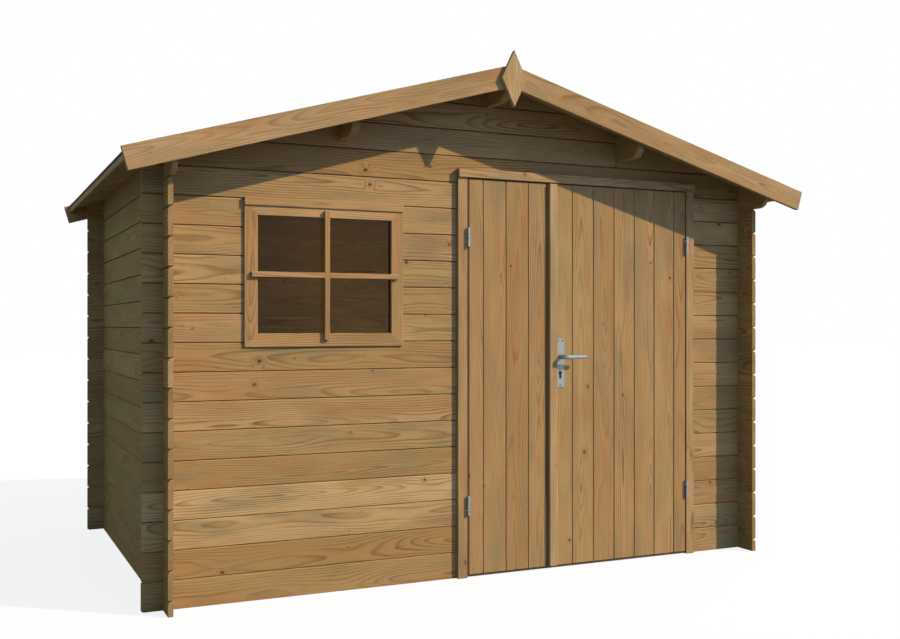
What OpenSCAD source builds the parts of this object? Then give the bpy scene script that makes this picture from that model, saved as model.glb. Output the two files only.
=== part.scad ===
// Wooden garden shed of interlocking planks, with a low gable roof, a window and a two-leaf door.
// X runs along the front, the front gable faces -Y, +Z is up, and the shed stands on Z = 0.
// The origin is under the middle of the roof. All sizes are in millimetres.

/* [Walls] */
// Height that one wall plank covers
plank_h = 116; // [100:1:130]
// Thickness of a wall plank
wall_t = 20; // [16:1:28]
// Width over the outer faces of the side walls
wall_w = 2840; // [2700:10:3600]
// Depth over the outer faces of the front and back walls
wall_d = 1860; // [1500:10:2800]
// How far the front and back planks run past the side walls
front_log_end = 82; // [50:1:120]
// How far the side planks run past the front and back walls
side_log_end = 108; // [60:1:150]
// How far the weathered top edge of a plank slopes down to its outer face
bevel_h = 8; // [4:0.5:12]
// How deep that slope runs into the plank
bevel_d = 14; // [8:0.5:15]
// Depth of the V-groove at each plank joint on the inner face
groove = 1.5; // [0.5:0.5:2]
// Free play of a plank in a corner notch or a frame groove
corner_play = 0.3; // [0.1:0.1:1]
// Whole planks in a side wall between its half plank and its eave log
side_planks = 14; // [14:1:16]

/* [Roof] */
// Slope of the roof in degrees
roof_pitch = 15.9; // [12:0.1:22]
// Height of an eave log at the outer face of its wall
eave_log_h = 112; // [90:1:116]
// From the front wall to the back of the front bargeboards
front_overhang = 206; // [130:1:320]
// From the back wall to the front of the back bargeboards
back_overhang = 127; // [120:1:320]
// From a side wall's outer face out to the eave
eave_reach = 161; // [100:1:260]
// Thickness of the roof boards
roof_board_t = 16; // [12:1:22]
// Width that one roof board covers
roof_board_w = 96; // [80:1:140]
// Depth of the V-groove under each joint of the roof boards
roof_groove = 4; // [2:0.5:6]
// Free play where the sloping pieces of the roof lie on each other
roof_play = 0.05; // [0.03:0.01:0.2]
// Thickness of the roofing felt
felt_t = 3; // [2:0.5:5]
// Width of the felt strip on each side of the ridge
ridge_strip_w = 150; // [100:5:250]
// Height of the board along each eave
eave_board_h = 30; // [20:1:50]
// Thickness of the board along each eave
eave_board_t = 16; // [12:1:22]
// Width of a bargeboard
barge_w = 92; // [70:1:140]
// Thickness of a bargeboard
barge_t = 20; // [14:1:28]
// How far a bargeboard runs past the eave
barge_reach = 28; // [10:1:60]
// How far a bargeboard stands above the felt
barge_rise = 2.5; // [0:0.5:20]
// Thickness of the ridge beam and purlins
purlin_t = 34; // [22:1:45]
// Depth of the ridge beam and purlins below the roof boards
purlin_h = 122; // [100:1:160]
// From the middle of the shed to a purlin
purlin_x = 690; // [500:10:900]
// Radius of the lower corner at each end of a purlin or eave log
purlin_round = 60; // [20:1:80]
// From the back of a bargeboard to the end of the ridge beam or a purlin
purlin_set_back = 18; // [0:1:60]
// Width of the diamond over a ridge joint
finial_w = 118; // [80:1:180]
// Height of the diamond over a ridge joint
finial_h = 241; // [160:1:320]
// Thickness of the diamond
finial_t = 20; // [12:1:28]
// From the middle of the bargeboards' joint down to the middle of the diamond
finial_drop = 15; // [0:1:40]

/* [Doorway] */
// Left outer edge of the door frame
door_left = -157; // [-260:1:-100]
// Width over the door frame
door_w = 1271; // [1100:1:1400]
// Rows of planks beside the door, below the gable
door_rows = 15; // [15:1:16]
// Width of a door post
post_w = 44; // [36:1:60]
// How far the posts stand out from the wall, on both faces
post_proud = 19; // [12:1:28]
// From the top row beside the door up to the underside of the header
header_lift = 20; // [10:1:40]
// Height of the door header
header_h = 38; // [30:1:60]
// How far the header stands out from the wall
header_proud = 29; // [20:1:45]
// How far planks reach into a post or the header
tongue = 15; // [8:1:20]
// How far the door stop reaches over a leaf
stop_lap = 10; // [6:1:14]
// Height of the door sill
sill_h = 9; // [6:1:14]

/* [Door leaves] */
// Width of the left leaf
left_leaf_w = 394; // [340:1:460]
// Thickness of the door boards
leaf_t = 20; // [16:1:26]
// Gap between a leaf and its frame
leaf_gap = 6; // [5:0.5:12]
// Gap between the two leaves
meeting_gap = 9; // [8:0.5:14]
// Gap behind a leaf, to the door stop
stop_gap = 6; // [5:0.5:8]
// Width that one door board covers
board_w = 114; // [80:0.5:140]
// Width of the board at a hinge
hinge_board_w = 71; // [60:1:110]
// Depth of the V-groove between door boards
board_groove = 3; // [1:0.5:5]
// Width of a ledge or brace on the back of a leaf
ledge_w = 95; // [70:1:120]
// Thickness of a ledge or brace
ledge_t = 20; // [14:1:26]
// From a leaf's edge to the ends of its ledges
ledge_inset = 40; // [30:1:60]
// From the foot of a leaf to the middle of its lowest ledge
ledge_low = 230; // [180:5:300]
// From the head of a leaf to the middle of its highest ledge
ledge_high = 180; // [150:5:260]
// Width of the cover strip on the right leaf
strip_w = 40; // [30:1:50]
// Thickness of the cover strip
strip_t = 17; // [8:0.5:20]

/* [Hinges] */
// Diameter of a hinge barrel
barrel_d = 13; // [11:0.5:14]
// Height of both halves of a barrel
barrel_h = 84; // [70:1:110]
// Diameter of a hinge pin
pin_d = 6; // [5:0.5:7]
// Clearance all round a hinge pin or the lever spindle
running_fit = 0.05; // [0.03:0.01:0.09]
// From the face of a leaf to the hinge axis
hinge_out = 8; // [7.5:0.5:10]
// Height of the lower hinges
hinge_low = 319; // [260:1:420]
// Height of the upper hinges
hinge_high = 1498; // [1300:1:1560]
// Diameter of the shank that screws into the wood
shank_d = 5; // [4:0.5:6]
// Length of a shank in the wood
shank_in = 20; // [12:1:22]
// Room in the wood beyond the end of a shank
shank_room = 2; // [1:0.5:4]

/* [Handle] */
// Width of the handle plate
plate_w = 43; // [32:1:48]
// Height of the handle plate
plate_h = 222; // [200:1:250]
// Thickness of the handle plate
plate_t = 3; // [2:0.5:5]
// Radius of the handle plate's corners
plate_round = 4; // [1:0.5:8]
// Height of the lever spindle
lever_z = 966; // [900:1:1040]
// From the lever spindle up to the top of the plate
plate_above = 83; // [60:1:100]
// From the lever spindle down to the middle of the keyhole's round
key_drop = 73; // [60:1:90]
// Diameter of the keyhole's round
key_d = 19; // [14:0.5:20]
// Width of the keyhole's foot
key_foot_w = 12; // [6:0.5:13]
// From the middle of the keyhole's round down to the end of its foot
key_foot = 27; // [20:0.5:28]
// Depth of the keyhole in the door boards
key_depth = 12; // [6:1:16]
// Diameter of the lever spindle
spindle_d = 9; // [8:0.5:10]
// Room round the spindle in the door boards
spindle_room = 4; // [2:0.5:6]
// Diameter of the bent bar that the lever is made of
lever_d = 21; // [14:0.5:24]
// Diameter of the lever at its tip
lever_tip_d = 15; // [9:0.5:18]
// Length of the chamfer at the lever's tip
lever_tip_chamfer = 2; // [1:0.5:4]
// From the handle plate to the middle of the lever
lever_out = 48; // [36:1:60]
// Radius of the lever's bend
lever_bend = 14; // [12:0.5:20]
// From the spindle to the tip of the lever
lever_l = 110; // [90:1:130]
// Width of the lock case
lock_w = 70; // [60:1:90]
// From the spindle up to the top of the lock case
lock_above = 40; // [30:1:60]
// From the middle of the keyhole down to the foot of the lock case
lock_below = 40; // [30:1:60]
// Depth of the lock case
lock_t = 24; // [18:1:30]

/* [Window] */
// Left edge of the window frame
window_left = -1102; // [-1160:1:-1040]
// Width over the window frame
window_w = 688; // [560:1:740]
// Plank row that the window stands on
sill_row = 9; // [7:1:10]
// Plank row over the window
head_row = 14; // [13:1:14]
// Width of the window frame's rails
rail_w = 55; // [45:1:70]
// How far the frame stands out from the wall
frame_proud = 10; // [6:1:16]
// How far the frame laps over the wall beside its opening
frame_lap = 16; // [10:1:24]
// How far the frame laps over the plank that it stands on
foot_lap = 21; // [10:1:30]
// How far the frame stays below the row over the window
head_drop = 14; // [8:1:24]
// How far the frame reaches past the wall's inner face
frame_inside = 6; // [0:1:12]
// From the wall's outer face in to the slot of the pane
pane_set = 4; // [2:0.5:8]
// Thickness of the pane
pane_t = 4; // [3:0.5:6]
// How far the pane sits in the rails
pane_in = 10; // [6:1:14]
// Height of the board over the window
window_head_h = 34; // [24:1:50]
// How far the board over the window reaches above the foot of the row over it
window_head_rise = 4; // [0:0.5:8]
// How far the board over the window stands out from the wall
window_head_proud = 17; // [14:1:28]

/* [Hidden] */
$fn = 48;
// How far a cut runs past the face that it opens
past = 0.01;
tan_p = tan(roof_pitch);
cos_p = cos(roof_pitch);
sin_p = sin(roof_pitch);

// Wall faces and the ends of the roof along Y
total_y = 2 * (finial_t + barge_t) + front_overhang + wall_d + back_overhang;
roof_y0 = -total_y / 2 + finial_t + barge_t;
roof_y1 = -roof_y0;
front_y = roof_y0 + front_overhang;
back_y = front_y + wall_d;
half_w = wall_w / 2;
log_x = half_w + front_log_end;

// Roof heights: the underside of the boards falls from the middle to the eaves
eave_log_z = (side_planks + 0.5) * plank_h;
ridge_z = eave_log_z + eave_log_h + half_w * tan_p;
eave_x = half_w + eave_reach;
barge_x = eave_x + barge_reach;

// Layers of the roof, measured square to its slope from the tops of the walls
boards_low = roof_play;
boards_high = boards_low + roof_board_t;
felt_low = boards_high + roof_play;
felt_high = felt_low + felt_t;
strip_low = felt_high + roof_play;
strip_high = strip_low + felt_t;
barge_high = felt_high + barge_rise;

// Doorway
door_right = door_left + door_w;
header_z = door_rows * plank_h + header_lift;
header_top = header_z + header_h;
leaf_y = front_y - post_proud;
leaf_back_y = leaf_y + leaf_t;
stop_y = leaf_back_y + stop_gap;
frame_back_y = front_y + wall_t + post_proud;
leaf_x0 = door_left + post_w + leaf_gap;
leaf_x3 = door_right - post_w - leaf_gap;
leaf_x1 = leaf_x0 + left_leaf_w;
leaf_x2 = leaf_x1 + meeting_gap;
right_leaf_w = leaf_x3 - leaf_x2;
leaf_z = sill_h + leaf_gap;
leaf_top = header_z - leaf_gap;
hinge_y = leaf_y - hinge_out;
left_hinge_x = leaf_x0 - leaf_gap / 2;
right_hinge_x = leaf_x3 + leaf_gap / 2;
shank_turn = 50;
shank_l = hinge_out / cos(shank_turn) + shank_in;
shank_hole_d = shank_d + 2 * corner_play;
shank_hole_l = shank_l + shank_room;
hinge_places = [hinge_low, hinge_high];
pin_shank_z = -barrel_h / 4;
socket_shank_z = barrel_h / 4;
pin_l = barrel_h / 2 - barrel_d / 3;

// Handle
plate_x = leaf_x2 + strip_w + plate_w / 2;
plate_top = lever_z + plate_above;
plate_y = leaf_y - plate_t;
lock_y = leaf_back_y + lock_t;
bore_d = spindle_d + 2 * running_fit;

// Window
window_right = window_left + window_w;
window_z0 = sill_row * plank_h - foot_lap;
window_z1 = head_row * plank_h - head_drop;
opening_x0 = window_left + frame_lap;
opening_x1 = window_right - frame_lap;
opening_z = sill_row * plank_h;
frame_in_w = opening_x1 - opening_x0 - 2 * corner_play;
frame_in_t = wall_t + frame_inside;
pane_y = front_y + pane_set;

wood = "burlywood";
trim = "wheat";
galvanised = "silver";

// Joints between planks that lie inside a panel from z0 to z1; shift is 0 or half a plank
function joints(z0, z1, shift) =
    let (last = floor(z1 / plank_h))
    [for (k = [0:last]) let (z = (k + shift) * plank_h) if (z > z0 + bevel_h && z < z1 - groove) z];

// Places along x and y of three points round one joint, from the outer face at x = 0
function outer_joint(z) = [[0, z - bevel_h], [bevel_d, z], [0, z]];

// Section of a stack of planks, thickness along x from the outer face and height along y: each plank has
// a weathered top outside and stands under the square foot of the next, with a fine V-groove inside
function stack_section(z0, z1, shift) =
    let (rows = joints(z0, z1, shift), n = len(rows))
    concat(
        [[0, z0]],
        [for (z = rows, point = outer_joint(z)) point],
        [[0, z1 - bevel_h], [bevel_d, z1], [wall_t - groove, z1], [wall_t, z1 - groove]],
        [for (i = [n - 1:-1:0], s = [1, 0, -1]) [wall_t - (s == 0 ? groove : 0), rows[i] + s * groove]],
        [[wall_t, z0 + groove], [wall_t - groove, z0]]
    );

// Planks along X from x0 to x1 with their outer face at y; outside is -1 or 1, the way that face looks
module planks_along_x(x0, x1, y, outside, z0, z1) {
    translate([x0, y, 0])
        rotate([90, 0, 90])
            linear_extrude(x1 - x0)
                scale([-outside, 1])
                    polygon(stack_section(z0, z1, 0));
}

// Planks along Y from y0 to y1 with their outer face at x; outside is -1 or 1, the way that face looks
module planks_along_y(y0, y1, x, outside, z0, z1) {
    translate([x, y1, 0])
        rotate([90, 0, 0])
            linear_extrude(y1 - y0)
                scale([-outside, 1])
                    polygon(stack_section(z0, z1, 0.5));
}

// Notches in a front or back wall where the side planks cross it
module notches_for_side_planks(y) {
    for (side = [-1, 1], k = [0:side_planks + 1])
        translate([side * (half_w - wall_t / 2), y + wall_t / 2, k * plank_h])
            cube([wall_t + 2 * corner_play, 2 * wall_t, plank_h / 2], center = true);
}

// Notches in a side wall about x where the front and back planks cross it
module notches_for_front_planks(x) {
    for (y = [front_y, back_y - wall_t], k = [0:side_planks + 1])
        translate([x, y + wall_t / 2, (k + 0.5) * plank_h])
            cube([2 * wall_t, wall_t + 2 * corner_play, plank_h / 2], center = true);
}

// Space under the roof boards, from y0 to y1
module under_roof(y0, y1) {
    reach = barge_x + barge_w;
    translate([0, y1, 0])
        rotate([90, 0, 0])
            linear_extrude(y1 - y0)
                polygon([
                    [-reach, 0], [reach, 0], [reach, ridge_z - reach * tan_p],
                    [0, ridge_z], [-reach, ridge_z - reach * tan_p]
                ]);
}

// Places of the ridge beam and purlins across the shed, and their lower edge
purlin_places = [-purlin_x, 0, purlin_x];
function purlin_foot(x) = ridge_z - abs(x) * tan_p - purlin_h;

// Slots in a gable for the ridge beam and the purlins
module purlin_slots(y) {
    for (x = purlin_places)
        translate([x - purlin_t / 2 - corner_play, y - wall_t, purlin_foot(x)])
            cube([purlin_t + 2 * corner_play, 3 * wall_t, 2 * purlin_h]);
}

module front_wall_lower() {
    color(wood)
        difference() {
            planks_along_x(-log_x, door_left + tongue, front_y, -1, 0, sill_row * plank_h);
            notches_for_side_planks(front_y);
        }
}

module front_wall_left_pier() {
    color(wood)
        difference() {
            planks_along_x(-log_x, opening_x0, front_y, -1, sill_row * plank_h, head_row * plank_h);
            notches_for_side_planks(front_y);
        }
}

module front_wall_middle_pier() {
    color(wood)
        planks_along_x(opening_x1, door_left + tongue, front_y, -1, sill_row * plank_h, head_row * plank_h);
}

module front_wall_over_window() {
    color(wood)
        difference() {
            planks_along_x(-log_x, door_left + tongue, front_y, -1, head_row * plank_h, door_rows * plank_h);
            notches_for_side_planks(front_y);
        }
}

module front_wall_right() {
    color(wood)
        difference() {
            planks_along_x(door_right - tongue, log_x, front_y, -1, 0, door_rows * plank_h);
            notches_for_side_planks(front_y);
        }
}

module front_gable() {
    color(wood)
        difference() {
            intersection() {
                planks_along_x(-log_x, log_x, front_y, -1, door_rows * plank_h, ridge_z + plank_h);
                under_roof(front_y - wall_t, front_y + 2 * wall_t);
            }
            notches_for_side_planks(front_y);
            purlin_slots(front_y);
            translate([door_left - corner_play, front_y - wall_t, 0])
                cube([door_w + 2 * corner_play, 3 * wall_t, header_top - tongue]);
        }
}

module back_wall() {
    color(wood)
        difference() {
            intersection() {
                planks_along_x(-log_x, log_x, back_y, 1, 0, ridge_z + plank_h);
                under_roof(back_y - 2 * wall_t, back_y + wall_t);
            }
            notches_for_side_planks(back_y - wall_t);
            purlin_slots(back_y - wall_t);
        }
}

// Side wall on the side given by side, -1 or 1
module side_wall(side) {
    y0 = front_y - side_log_end;
    y1 = back_y + side_log_end;
    color(wood)
        difference() {
            planks_along_y(y0, y1, side * half_w, side, 0, eave_log_z);
            notches_for_front_planks(side * (half_w - wall_t / 2));
        }
}

module left_wall() {
    side_wall(-1);
}

module right_wall() {
    side_wall(1);
}

// Timber along the roof with round lower corners, up to the roof boards and set back at both ends
module roof_timber(x, t, foot, set_back) {
    len = roof_y1 - roof_y0 - 2 * set_back;
    tall = ridge_z - foot;
    r = purlin_round;
    intersection() {
        translate([x - t / 2, roof_y0 + set_back, foot])
            rotate([90, 0, 90])
                linear_extrude(t) {
                    translate([r, 0])
                        square([len - 2 * r, tall]);
                    translate([0, r])
                        square([len, tall - r]);
                    for (y = [r, len - r])
                        translate([y, r])
                            circle(r);
                }
        under_roof(roof_y0 - past, roof_y1 + past);
    }
}

module eave_log(side) {
    x = side * (half_w - wall_t / 2);
    color(wood)
        difference() {
            roof_timber(x, wall_t, eave_log_z, 0);
            notches_for_front_planks(x);
        }
}

module left_eave_log() {
    eave_log(-1);
}

module right_eave_log() {
    eave_log(1);
}

module ridge_beam() {
    color(wood)
        roof_timber(0, purlin_t, purlin_foot(0), purlin_set_back);
}

module left_purlin() {
    color(wood)
        roof_timber(-purlin_x, purlin_t, purlin_foot(purlin_x), purlin_set_back);
}

module right_purlin() {
    color(wood)
        roof_timber(purlin_x, purlin_t, purlin_foot(purlin_x), purlin_set_back);
}

// Sloping slab from x0 to x1 on one side of the roof, -1 or 1, between two levels square to the slope
module roof_slab(side, x0, x1, low, high) {
    function level(x, h) = ridge_z - x * tan_p + h / cos_p;
    translate([0, roof_y1, 0])
        rotate([90, 0, 0])
            linear_extrude(roof_y1 - roof_y0)
                polygon([
                    [side * x0, level(x0, low)], [side * x1, level(x1, low)],
                    [side * x1, level(x1, high)], [side * x0, level(x0, high)]
                ]);
}

// V-grooves under the joints of the roof boards, which run down the slope
module roof_board_grooves(side) {
    boards = floor((roof_y1 - roof_y0) / roof_board_w);
    for (k = [1:boards])
        translate([0, roof_y0 + k * roof_board_w, ridge_z])
            rotate([0, side * roof_pitch, 0])
                rotate([90, 0, 90])
                    linear_extrude(2 * barge_x, center = true)
                        polygon([[-roof_groove, 0], [roof_groove, 0], [0, roof_groove]]);
}

module roof_boards(side) {
    color(wood)
        difference() {
            roof_slab(side, 0, eave_x - eave_board_t, boards_low, boards_high);
            roof_board_grooves(side);
        }
}

module left_roof_boards() {
    roof_boards(-1);
}

module right_roof_boards() {
    roof_boards(1);
}

module eave_boards() {
    color(trim)
        for (side = [-1, 1])
            roof_slab(side, eave_x - eave_board_t, eave_x, boards_high - eave_board_h, boards_high);
}

module left_felt() {
    color("dimgray")
        roof_slab(-1, 0, eave_x, felt_low, felt_high);
}

module right_felt() {
    color("dimgray")
        roof_slab(1, 0, eave_x, felt_low, felt_high);
}

module ridge_felt() {
    color("dimgray")
        for (side = [-1, 1])
            roof_slab(side, 0, ridge_strip_w, strip_low, strip_high);
}

// Bargeboard on the side of the roof given by side, with its face of lowest Y at y
module bargeboard(side, y) {
    top = ridge_z + barge_high / cos_p;
    end_z = top - barge_x * tan_p;
    color(trim)
        translate([0, y + barge_t, 0])
            rotate([90, 0, 0])
                linear_extrude(barge_t)
                    polygon([
                        [0, top],
                        [side * barge_x, end_z],
                        [side * (barge_x - barge_w * sin_p), end_z - barge_w * cos_p],
                        [0, top - barge_w / cos_p]
                    ]);
}

module front_left_bargeboard() {
    bargeboard(-1, roof_y0 - barge_t);
}

module front_right_bargeboard() {
    bargeboard(1, roof_y0 - barge_t);
}

module back_left_bargeboard() {
    bargeboard(-1, roof_y1);
}

module back_right_bargeboard() {
    bargeboard(1, roof_y1);
}

// Diamond over a ridge joint, with its face of lowest Y at y
module finial(y) {
    middle = ridge_z + (barge_high - barge_w / 2) / cos_p - finial_drop;
    color(trim)
        translate([0, y + finial_t, middle])
            rotate([90, 0, 0])
                linear_extrude(finial_t)
                    polygon([[0, finial_h / 2], [-finial_w / 2, 0], [0, -finial_h / 2], [finial_w / 2, 0]]);
}

module front_finial() {
    finial(roof_y0 - barge_t - finial_t);
}

module back_finial() {
    finial(roof_y1 + barge_t);
}

// Shank of one hinge at height z: turn is the way it leans from the axis, in degrees from +Y towards -X
module hinge_shank(x, z, turn, d, length) {
    translate([x, hinge_y, z])
        rotate([0, 0, turn])
            rotate([-90, 0, 0])
                cylinder(d = d, h = length);
}

// Door post from x0, with planks in the groove on the side given by wall_side and a stop on the other
module door_post(x0, wall_side, hinge_x) {
    groove_x = wall_side < 0 ? x0 - past : x0 + post_w - tongue - corner_play;
    stop_x = wall_side < 0 ? x0 + post_w - past : x0 - leaf_gap - stop_lap;
    color(trim)
        difference() {
            union() {
                translate([x0, leaf_y, 0])
                    cube([post_w, frame_back_y - leaf_y, header_z]);
                translate([stop_x, stop_y, sill_h])
                    cube([leaf_gap + stop_lap + past, frame_back_y - stop_y, header_z - sill_h]);
            }
            translate([groove_x, front_y - corner_play, -past])
                cube([tongue + corner_play + past, wall_t + 2 * corner_play, header_z + 2 * past]);
            for (z = hinge_places)
                hinge_shank(hinge_x, z + pin_shank_z, -wall_side * shank_turn, shank_hole_d, shank_hole_l);
        }
}

module door_left_post() {
    door_post(door_left, -1, left_hinge_x);
}

module door_right_post() {
    door_post(door_right - post_w, 1, right_hinge_x);
}

module door_header() {
    stop_w = leaf_x3 - leaf_x0 - 2 * stop_lap;
    color(trim)
        difference() {
            union() {
                translate([door_left, front_y - header_proud, header_z])
                    cube([door_w, frame_back_y - front_y + header_proud, header_h]);
                translate([leaf_x0 + stop_lap, stop_y, leaf_top - stop_lap])
                    cube([stop_w, frame_back_y - stop_y, leaf_gap + stop_lap + past]);
            }
            translate([door_left - past, front_y - corner_play, header_top - tongue])
                cube([door_w + 2 * past, wall_t + 2 * corner_play, tongue + past]);
        }
}

module door_sill() {
    color(trim)
        translate([door_left + post_w, front_y, 0]) {
            inside = door_w - 2 * post_w;
            cube([inside, frame_back_y - front_y, sill_h]);
            translate([leaf_gap + stop_lap, stop_y - front_y, 0])
                cube([inside - 2 * (leaf_gap + stop_lap), frame_back_y - stop_y, leaf_z + stop_lap]);
        }
}

// Lower half of a lift-off hinge: barrel, pin and the shank in the post
module hinge_pin(x, z, turn) {
    half = barrel_h / 2;
    translate([x, hinge_y, z - half])
        cylinder(d = barrel_d, h = half);
    translate([x, hinge_y, z - past])
        cylinder(d = pin_d, h = pin_l);
    hinge_shank(x, z + pin_shank_z, turn, shank_d, shank_l);
}

module hinge_pins() {
    color(galvanised)
        for (z = hinge_places) {
            hinge_pin(left_hinge_x, z, shank_turn);
            hinge_pin(right_hinge_x, z, -shank_turn);
        }
}

// Upper half of a lift-off hinge: barrel bored for the pin and the shank in the leaf
module hinge_sockets(x, turn) {
    half = barrel_h / 2;
    color(galvanised)
        for (z = hinge_places)
            difference() {
                union() {
                    translate([x, hinge_y, z + corner_play])
                        cylinder(d = barrel_d, h = half - corner_play);
                    hinge_shank(x, z + socket_shank_z, turn, shank_d, shank_l);
                }
                translate([x, hinge_y, z])
                    cylinder(d = pin_d + 2 * running_fit, h = pin_l + corner_play);
            }
}

module left_hinge_sockets() {
    hinge_sockets(left_hinge_x, -shank_turn);
}

module right_hinge_sockets() {
    hinge_sockets(right_hinge_x, shank_turn);
}

// Section of upright door boards from x = 0 at the hinge edge, grooved on the face
function board_section(width) =
    let (
        last = floor((width - hinge_board_w) / board_w),
        rows = [for (k = [0:last]) let (x = hinge_board_w + k * board_w) if (x < width - board_groove) x]
    )
    concat(
        [[0, 0]],
        [for (x = rows, s = [-1, 0, 1]) [x + s * board_groove, s == 0 ? board_groove : 0]],
        [[width, 0], [width, leaf_t], [0, leaf_t]]
    );

module leaf_boards(width) {
    linear_extrude(leaf_top - leaf_z)
        polygon(board_section(width));
}

// Prism across the door from y0 to y1, whose outline is drawn about the handle's middle line at height z
module across_door(y0, y1, z) {
    translate([plate_x, y1, z])
        rotate([90, 0, 0])
            linear_extrude(y1 - y0)
                children();
}

// Round with a narrow foot, about the middle of the round
module keyhole() {
    circle(d = key_d);
    translate([-key_foot_w / 2, -key_foot + key_foot_w / 2])
        square([key_foot_w, key_foot - key_foot_w / 2]);
    translate([0, -key_foot + key_foot_w / 2])
        circle(d = key_foot_w);
}

module left_door_leaf() {
    color(wood)
        difference() {
            translate([leaf_x0, leaf_y, leaf_z])
                leaf_boards(left_leaf_w);
            for (z = hinge_places)
                hinge_shank(left_hinge_x, z + socket_shank_z, -shank_turn, shank_hole_d, shank_hole_l);
        }
}

module right_door_leaf() {
    color(wood)
        difference() {
            translate([leaf_x3, leaf_y, leaf_z])
                mirror([1, 0, 0])
                    leaf_boards(right_leaf_w);
            for (z = hinge_places)
                hinge_shank(right_hinge_x, z + socket_shank_z, shank_turn, shank_hole_d, shank_hole_l);
            across_door(leaf_y - past, leaf_back_y + past, lever_z)
                circle(d = spindle_d + 2 * spindle_room);
            across_door(leaf_y - past, leaf_y + key_depth, lever_z - key_drop)
                keyhole();
        }
}

// Ledges and a brace on the back of a leaf from x0 to x1; the brace rises from the hinge edge
module ledges(x0, x1, hinge_side) {
    left = x0 + ledge_inset;
    right = x1 - ledge_inset;
    low = leaf_z + ledge_low;
    high = leaf_top - ledge_high;
    foot_x = hinge_side < 0 ? left : right - ledge_w;
    head_x = hinge_side < 0 ? right - ledge_w : left;
    color(trim)
        translate([0, leaf_back_y + ledge_t, 0])
            rotate([90, 0, 0])
                linear_extrude(ledge_t) {
                    for (z = [low, high])
                        translate([left, z - ledge_w / 2])
                            square([right - left, ledge_w]);
                    polygon([
                        [foot_x, low], [foot_x + ledge_w, low], [head_x + ledge_w, high], [head_x, high]
                    ]);
                }
}

module left_door_ledges() {
    ledges(leaf_x0, leaf_x1, -1);
}

module right_door_ledges() {
    ledges(leaf_x2, leaf_x3, 1);
}

module cover_strip() {
    color(trim)
        translate([leaf_x2, leaf_y - strip_t, leaf_z])
            cube([strip_w, strip_t, leaf_top - leaf_z]);
}

// Plate with round corners, drawn up from its foot about its middle line
module rounded_plate(w, h, r) {
    translate([-w / 2 + r, 0])
        square([w - 2 * r, h]);
    translate([-w / 2, r])
        square([w, h - 2 * r]);
    for (x = [-w / 2 + r, w / 2 - r], z = [r, h - r])
        translate([x, z])
            circle(r);
}

module handle_plate() {
    color(galvanised)
        difference() {
            across_door(plate_y, leaf_y, plate_top - plate_h)
                rounded_plate(plate_w, plate_h, plate_round);
            across_door(plate_y - past, leaf_y + past, lever_z)
                circle(d = bore_d);
            across_door(plate_y - past, leaf_y + past, lever_z - key_drop)
                keyhole();
        }
}

module lock_case() {
    foot = lever_z - key_drop - lock_below;
    color(galvanised)
        difference() {
            across_door(leaf_back_y, lock_y, foot)
                rounded_plate(lock_w, lever_z + lock_above - foot, plate_round);
            across_door(leaf_back_y - past, lock_y + past, lever_z)
                circle(d = bore_d);
        }
}

// Bent bar of the lever on one side of the door: way is -1 for the outside and 1 for the inside
module lever_bar(face_y, way) {
    neck = lever_out - lever_bend;
    arm = lever_l - lever_bend - lever_tip_chamfer;
    end_d = lever_tip_d - 2 * lever_tip_chamfer;
    translate([plate_x, face_y, lever_z])
        mirror([0, way < 0 ? 1 : 0, 0]) {
            rotate([-90, 0, 0])
                cylinder(d = lever_d, h = neck);
            translate([lever_bend, neck, 0])
                rotate([0, 0, 90])
                    rotate_extrude(angle = 90)
                        translate([lever_bend, 0])
                            circle(d = lever_d);
            translate([lever_bend, lever_out, 0])
                rotate([0, 90, 0]) {
                    cylinder(d1 = lever_d, d2 = lever_tip_d, h = arm);
                    translate([0, 0, arm])
                        cylinder(d1 = lever_tip_d, d2 = end_d, h = lever_tip_chamfer);
                }
        }
}

module lever_handle() {
    outside = plate_y - corner_play;
    inside = lock_y + corner_play;
    color(galvanised) {
        across_door(outside - past, inside + past, lever_z)
            circle(d = spindle_d);
        lever_bar(outside, -1);
        lever_bar(inside, 1);
    }
}

// Box of the window from x0 to x1 and z0 to z1, drawn in by inset on each side
module window_box(inset, y0, y1) {
    translate([window_left + inset, y0, window_z0 + inset])
        cube([window_w - 2 * inset, y1 - y0, window_z1 - window_z0 - 2 * inset]);
}

module window_frame() {
    color(trim)
        difference() {
            union() {
                window_box(0, front_y - frame_proud, front_y);
                translate([opening_x0 + corner_play, front_y - past, opening_z])
                    cube([frame_in_w, frame_in_t, window_z1 - opening_z]);
            }
            window_box(rail_w, front_y - frame_proud - past, front_y + frame_in_t + past);
            window_box(rail_w - pane_in, pane_y, pane_y + pane_t);
        }
}

module window_pane() {
    play = corner_play / 2;
    color("lightblue", 0.5)
        window_box(rail_w - pane_in + corner_play, pane_y + play, pane_y + pane_t - play);
}

module window_head() {
    top = head_row * plank_h + window_head_rise;
    color(trim)
        difference() {
            union() {
                translate([window_left, front_y - window_head_proud, top - window_head_h])
                    cube([window_w, window_head_proud, window_head_h]);
                translate([opening_x0 + corner_play, front_y - past, window_z1])
                    cube([frame_in_w, wall_t, head_drop]);
            }
            translate([window_left - past, front_y - frame_proud, window_z1 - window_head_h])
                cube([window_w + 2 * past, frame_proud + past, window_head_h]);
        }
}

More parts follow.
